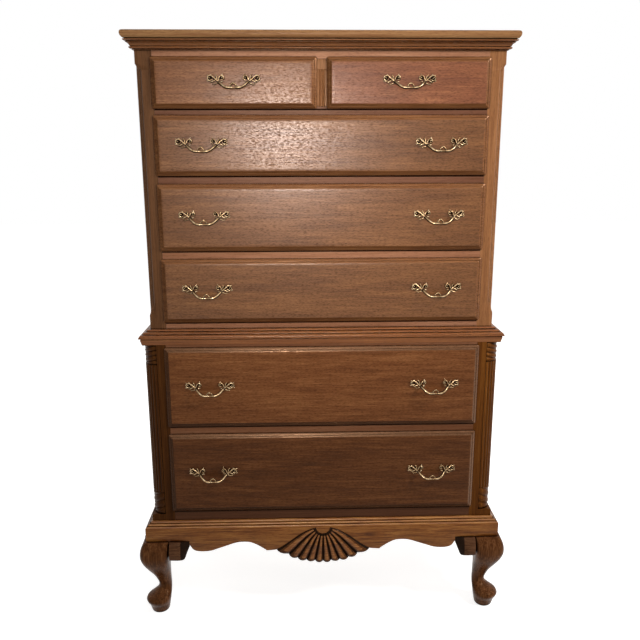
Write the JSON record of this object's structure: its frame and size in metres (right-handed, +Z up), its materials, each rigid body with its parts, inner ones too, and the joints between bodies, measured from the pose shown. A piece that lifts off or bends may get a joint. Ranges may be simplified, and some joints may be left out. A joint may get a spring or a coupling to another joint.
{
  "type": "highboy",
  "caption": "Wooden highboy: an upper chest of lipped drawers on a wider lower chest, with reeded corners, brass bail pulls, a shell-carved apron and cabriole legs.",
  "frame": {"origin": "centre of the footprint of the whole highboy, on the floor", "axes": "+Z up, the drawers open towards -Y, +X to the right when seen from the front"},
  "size_m": [1.04, 0.519, 1.585],
  "materials": {
    "case_wood": "satin lacquered mahogany",
    "front_wood": "satin lacquered mahogany",
    "base_wood": "satin lacquered, golden brown",
    "leg_wood": "satin lacquered, dark brown",
    "block_wood": "satin lacquered, darker brown",
    "drawer_wood": "bare pale wood",
    "plywood": "bare plywood",
    "brass": "antique brass with dark recesses"
  },
  "bodies": {
    "carcass": {"front_apron": "base_wood", "rear_rail": "base_wood", "side_apron_left": "base_wood", "front_leg_left": "leg_wood", "rear_leg_left": "leg_wood", "front_knee_block_left": "block_wood", "side_knee_block_left": "block_wood", "lower_side_left": "case_wood", "quarter_column_left": "case_wood", "side_apron_right": "base_wood", "front_leg_right": "leg_wood", "rear_leg_right": "leg_wood", "front_knee_block_right": "block_wood", "side_knee_block_right": "block_wood", "lower_side_right": "case_wood", "quarter_column_right": "case_wood", "lower_web_frame_1": "case_wood", "lower_web_frame_2": "case_wood", "lower_web_frame_3": "case_wood", "lower_back": "plywood", "waist_moulding": "case_wood", "upper_side_left": "case_wood", "upper_post_left": "case_wood", "upper_side_right": "case_wood", "upper_post_right": "case_wood", "upper_web_frame_1": "case_wood", "upper_web_frame_2": "case_wood", "upper_web_frame_3": "case_wood", "upper_web_frame_4": "case_wood", "upper_web_frame_5": "case_wood", "upper_back": "plywood", "drawer_divider": "case_wood", "crown_moulding": "case_wood", "top_board": "case_wood"},
    "drawer_1": {"drawer_1_front": "front_wood", "drawer_1_box": "drawer_wood", "drawer_1_pull": "brass"},
    "drawer_2": {"drawer_2_front": "front_wood", "drawer_2_box": "drawer_wood", "drawer_2_pull": "brass"},
    "drawer_3": {"drawer_3_front": "front_wood", "drawer_3_box": "drawer_wood", "drawer_3_pull_left": "brass", "drawer_3_pull_right": "brass"},
    "drawer_4": {"drawer_4_front": "front_wood", "drawer_4_box": "drawer_wood", "drawer_4_pull_left": "brass", "drawer_4_pull_right": "brass"},
    "drawer_5": {"drawer_5_front": "front_wood", "drawer_5_box": "drawer_wood", "drawer_5_pull_left": "brass", "drawer_5_pull_right": "brass"},
    "drawer_6": {"drawer_6_front": "front_wood", "drawer_6_box": "drawer_wood", "drawer_6_pull_left": "brass", "drawer_6_pull_right": "brass"},
    "drawer_7": {"drawer_7_front": "front_wood", "drawer_7_box": "drawer_wood", "drawer_7_pull_left": "brass", "drawer_7_pull_right": "brass"}
  },
  "joints": [
    {"name": "drawer_1_slide", "type": "slide", "parent": "carcass", "child": "drawer_1", "axis": [0, -1, 0], "range_m": [0, 0.3]},
    {"name": "drawer_2_slide", "type": "slide", "parent": "carcass", "child": "drawer_2", "axis": [0, -1, 0], "range_m": [0, 0.3]},
    {"name": "drawer_3_slide", "type": "slide", "parent": "carcass", "child": "drawer_3", "axis": [0, -1, 0], "range_m": [0, 0.3]},
    {"name": "drawer_4_slide", "type": "slide", "parent": "carcass", "child": "drawer_4", "axis": [0, -1, 0], "range_m": [0, 0.3]},
    {"name": "drawer_5_slide", "type": "slide", "parent": "carcass", "child": "drawer_5", "axis": [0, -1, 0], "range_m": [0, 0.3]},
    {"name": "drawer_6_slide", "type": "slide", "parent": "carcass", "child": "drawer_6", "axis": [0, -1, 0], "range_m": [0, 0.3]},
    {"name": "drawer_7_slide", "type": "slide", "parent": "carcass", "child": "drawer_7", "axis": [0, -1, 0], "range_m": [0, 0.3]}
  ]
}
